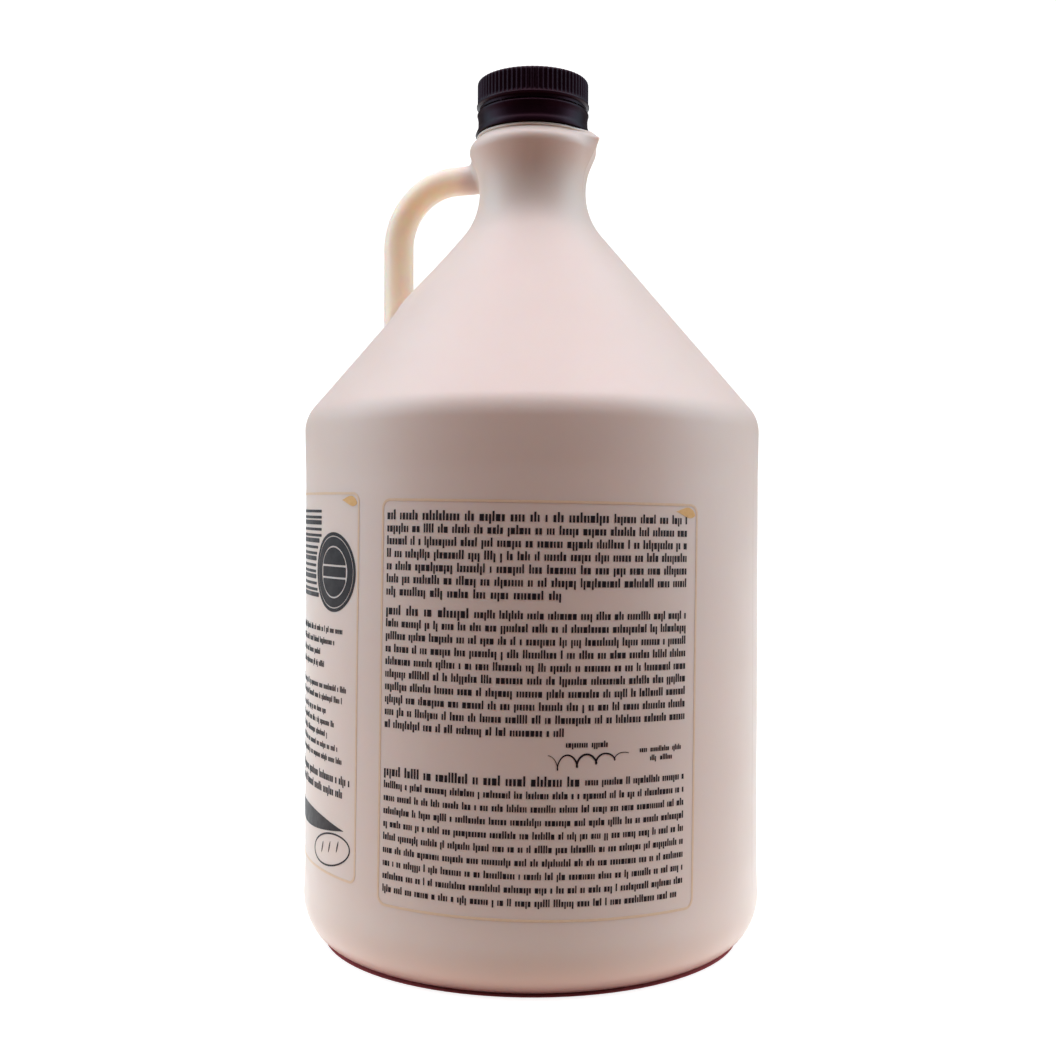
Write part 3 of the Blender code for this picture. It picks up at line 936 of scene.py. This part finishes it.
def cap_plastic(name, roughness):
    material, tree, shader = new_material(name)
    cloudy_color(tree, shader, 180.0, 3.0, CLOSURE_TONES)
    uneven_roughness(tree, shader, 420.0, roughness - 0.04, roughness + 0.06)
    shader.inputs["IOR"].default_value = 1.49
    shader.inputs["Specular IOR Level"].default_value = 0.12
    shader.inputs["Specular Tint"].default_value = (1.0, 0.35, 0.65, 1.0)
    bump_chain(tree, shader, ((noise_node(tree, 2600.0, 2.0), 0.000008),))
    return material


def ink_material(name, stops):
    material, tree, shader = new_material(name)
    cloudy_color(tree, shader, 700.0, 4.0, stops)
    uneven_roughness(tree, shader, 300.0, 0.4, 0.53)
    shader.inputs["Specular IOR Level"].default_value = 0.2
    bump_chain(tree, shader, ((noise_node(tree, 2200.0, 2.0), 0.000006),))
    return material


def floor_material():
    material, tree, shader = new_material("pale_floor")
    cloudy_color(tree, shader, 3.0, 2.0, FLOOR_TONES)
    shader.inputs["Roughness"].default_value = 0.9
    shader.inputs["Emission Color"].default_value = (1.0, 1.0, 1.0, 1.0)
    shader.inputs["Emission Strength"].default_value = FLOOR_LIFT
    return material


def shade_material():
    # painted contact shadow: the dark reddish disc under the jug's foot
    material, tree, shader = new_material("foot_shade")
    cloudy_color(tree, shader, 60.0, 2.0, SHADE_TONES)
    shader.inputs["Roughness"].default_value = 0.9
    return material


# Stage, light and camera

def floor():
    """A white table. It sends no light back up: the table glow and the world below the horizon do."""
    size, z = FLOOR_SIZE, -FLOOR_GAPS[0]
    corners = [(-size, -size, z), (size, -size, z), (size, size, z), (-size, size, z)]
    obj = new_object("floor", corners, [(0, 1, 2, 3)], floor_material())
    obj.visible_diffuse = False
    obj.visible_glossy = False
    obj.visible_shadow = False


def direction_ramp(tree, facing_camera, stops):
    """A colour that changes from straight behind the jug (-1) to the camera's side (1)."""
    ramp = tree.nodes.new("ShaderNodeValToRGB")
    elements = ramp.color_ramp.elements
    while len(elements) < len(stops):
        elements.new(0.5)
    for element, (turn, level) in zip(elements, stops):
        element.position = (turn + 1) / 2
        element.color = (*[part / LIGHT_SCALE for part in level], 1)
    tree.links.new(facing_camera, ramp.inputs["Fac"])
    return ramp.outputs["Color"]


def step_node(tree, value, low, high):
    node = tree.nodes.new("ShaderNodeMapRange")
    node.interpolation_type = "SMOOTHSTEP"
    node.inputs["From Min"].default_value = low
    node.inputs["From Max"].default_value = high
    tree.links.new(value, node.inputs["Value"])
    return node.outputs["Result"]


def mix_color(tree, factor, a, b):
    node = tree.nodes.new("ShaderNodeMix")
    node.data_type = "RGBA"
    tree.links.new(factor, node.inputs["Factor"])
    for socket, value in ((node.inputs[6], a), (node.inputs[7], b)):
        if isinstance(value, tuple):
            socket.default_value = (*value, 1)
        else:
            tree.links.new(value, socket)
    return node.outputs[2]


def world_light():
    """Two tall boxes beside the jug, one above it, light from below behind it, and a dim camera side."""
    world = bpy.data.worlds.new("studio")
    bpy.context.scene.world = world
    world.use_nodes = True
    tree = world.node_tree
    background = tree.nodes["Background"]
    coords = tree.nodes.new("ShaderNodeTexCoord")
    front = tree.nodes.new("ShaderNodeVectorMath")
    front.operation = "DOT_PRODUCT"
    front.inputs[1].default_value = (math.sin(VIEW_AZIMUTH), -math.cos(VIEW_AZIMUTH), 0.0)
    parts = tree.nodes.new("ShaderNodeSeparateXYZ")
    half = tree.nodes.new("ShaderNodeMapRange")
    half.inputs["From Min"].default_value = -1.0
    tree.links.new(coords.outputs["Generated"], front.inputs[0])
    tree.links.new(coords.outputs["Generated"], parts.inputs[0])
    tree.links.new(front.outputs["Value"], half.inputs["Value"])
    around = direction_ramp(tree, half.outputs["Result"], SIDE_LIGHT)
    below = direction_ramp(tree, half.outputs["Result"], LOW_LIGHT)
    over = tuple(part / LIGHT_SCALE for part in TOP_LIGHT)
    light = mix_color(tree, step_node(tree, parts.outputs["Z"], *HORIZON_EDGE), below, around)
    light = mix_color(tree, step_node(tree, parts.outputs["Z"], *TOP_LIGHT_EDGE), light, over)
    path = tree.nodes.new("ShaderNodeLightPath")
    white = tuple([BACKGROUND / LIGHT_SCALE] * 3)
    light = mix_color(tree, path.outputs["Is Camera Ray"], light, white)
    tree.links.new(light, background.inputs["Color"])
    background.inputs["Strength"].default_value = LIGHT_SCALE


def flat_disc(name, radius, z, material):
    angles = [2 * math.pi * i / DISC_SIDES for i in range(DISC_SIDES)]
    rim = [(radius * math.cos(angle), radius * math.sin(angle), z) for angle in angles]
    return new_object(name, rim, [tuple(range(DISC_SIDES))], material)


def table_glow():
    """Light that a white table throws up at the jug, and the painted contact shadow under its foot."""
    light = bpy.data.lights.new("table_glow", "AREA")
    light.shape = "DISK"
    light.size = TABLE_GLOW_WIDTH
    light.color = [part / max(TABLE_GLOW) for part in TABLE_GLOW]
    light.energy = max(TABLE_GLOW) * math.pi * math.pi * (TABLE_GLOW_WIDTH / 2) ** 2
    obj = bpy.data.objects.new("table_glow", light)
    obj.location = (0.0, 0.0, -TABLE_GLOW_DEPTH)
    obj.rotation_euler = (math.pi, 0.0, 0.0)
    obj.visible_camera = False
    bpy.context.scene.collection.objects.link(obj)
    material = shade_material()
    # painted contact shadow that the camera sees; the larger disc below only blocks light
    flat_disc("foot_shade", SHADE_R, -FLOOR_GAPS[1], material)
    block = flat_disc("light_block", BLOCK_R, -FLOOR_GAPS[2], material)
    block.visible_camera = False


def camera():
    data = bpy.data.cameras.new("camera")
    data.sensor_width = SENSOR_MM
    data.sensor_fit = "HORIZONTAL"
    data.lens = FOCAL_PX / PHOTO_W * SENSOR_MM
    data.clip_start, data.clip_end = 0.02, 50.0
    obj = bpy.data.objects.new("camera", data)
    ahead = Vector((-math.sin(VIEW_AZIMUTH), math.cos(VIEW_AZIMUTH), 0.0))
    right = Vector((math.cos(VIEW_AZIMUTH), math.sin(VIEW_AZIMUTH), 0.0))
    place = -ahead * CAMERA_DISTANCE - right * CAMERA_ASIDE + Vector((0.0, 0.0, CAMERA_HEIGHT))
    turn = Matrix.Rotation(VIEW_AZIMUTH, 4, "Z")
    tilt = Matrix.Rotation(math.radians(90) - CAMERA_PITCH, 4, "X")
    roll = Matrix.Rotation(CAMERA_ROLL, 4, "Z")
    obj.matrix_world = Matrix.Translation(place * MM) @ turn @ tilt @ roll
    bpy.context.scene.collection.objects.link(obj)
    bpy.context.scene.camera = obj


def pieces():
    tan = polyethylene()
    body = jug_body(tan)
    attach(body, "root")
    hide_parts("jug")
    cap = cap_piece(cap_plastic("cap_brown", 0.36))
    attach(cap, "root")
    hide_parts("cap")
    band = band_piece(cap_plastic("band_brown", 0.32))
    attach(band, "root")
    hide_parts("tamper_band")
    dark = ink_material("dark_print", DARK_TONES)
    gold = ink_material("pale_gold_print", PALE_GOLD_TONES), ink_material("gold_print", GOLD_TONES)
    main_panel(dark, gold)
    side_panel(dark, gold)
    front_panel(dark, gold)


camera()
pieces()
floor()
world_light()
table_glow()
bpy.context.scene.view_settings.view_transform = "Standard"
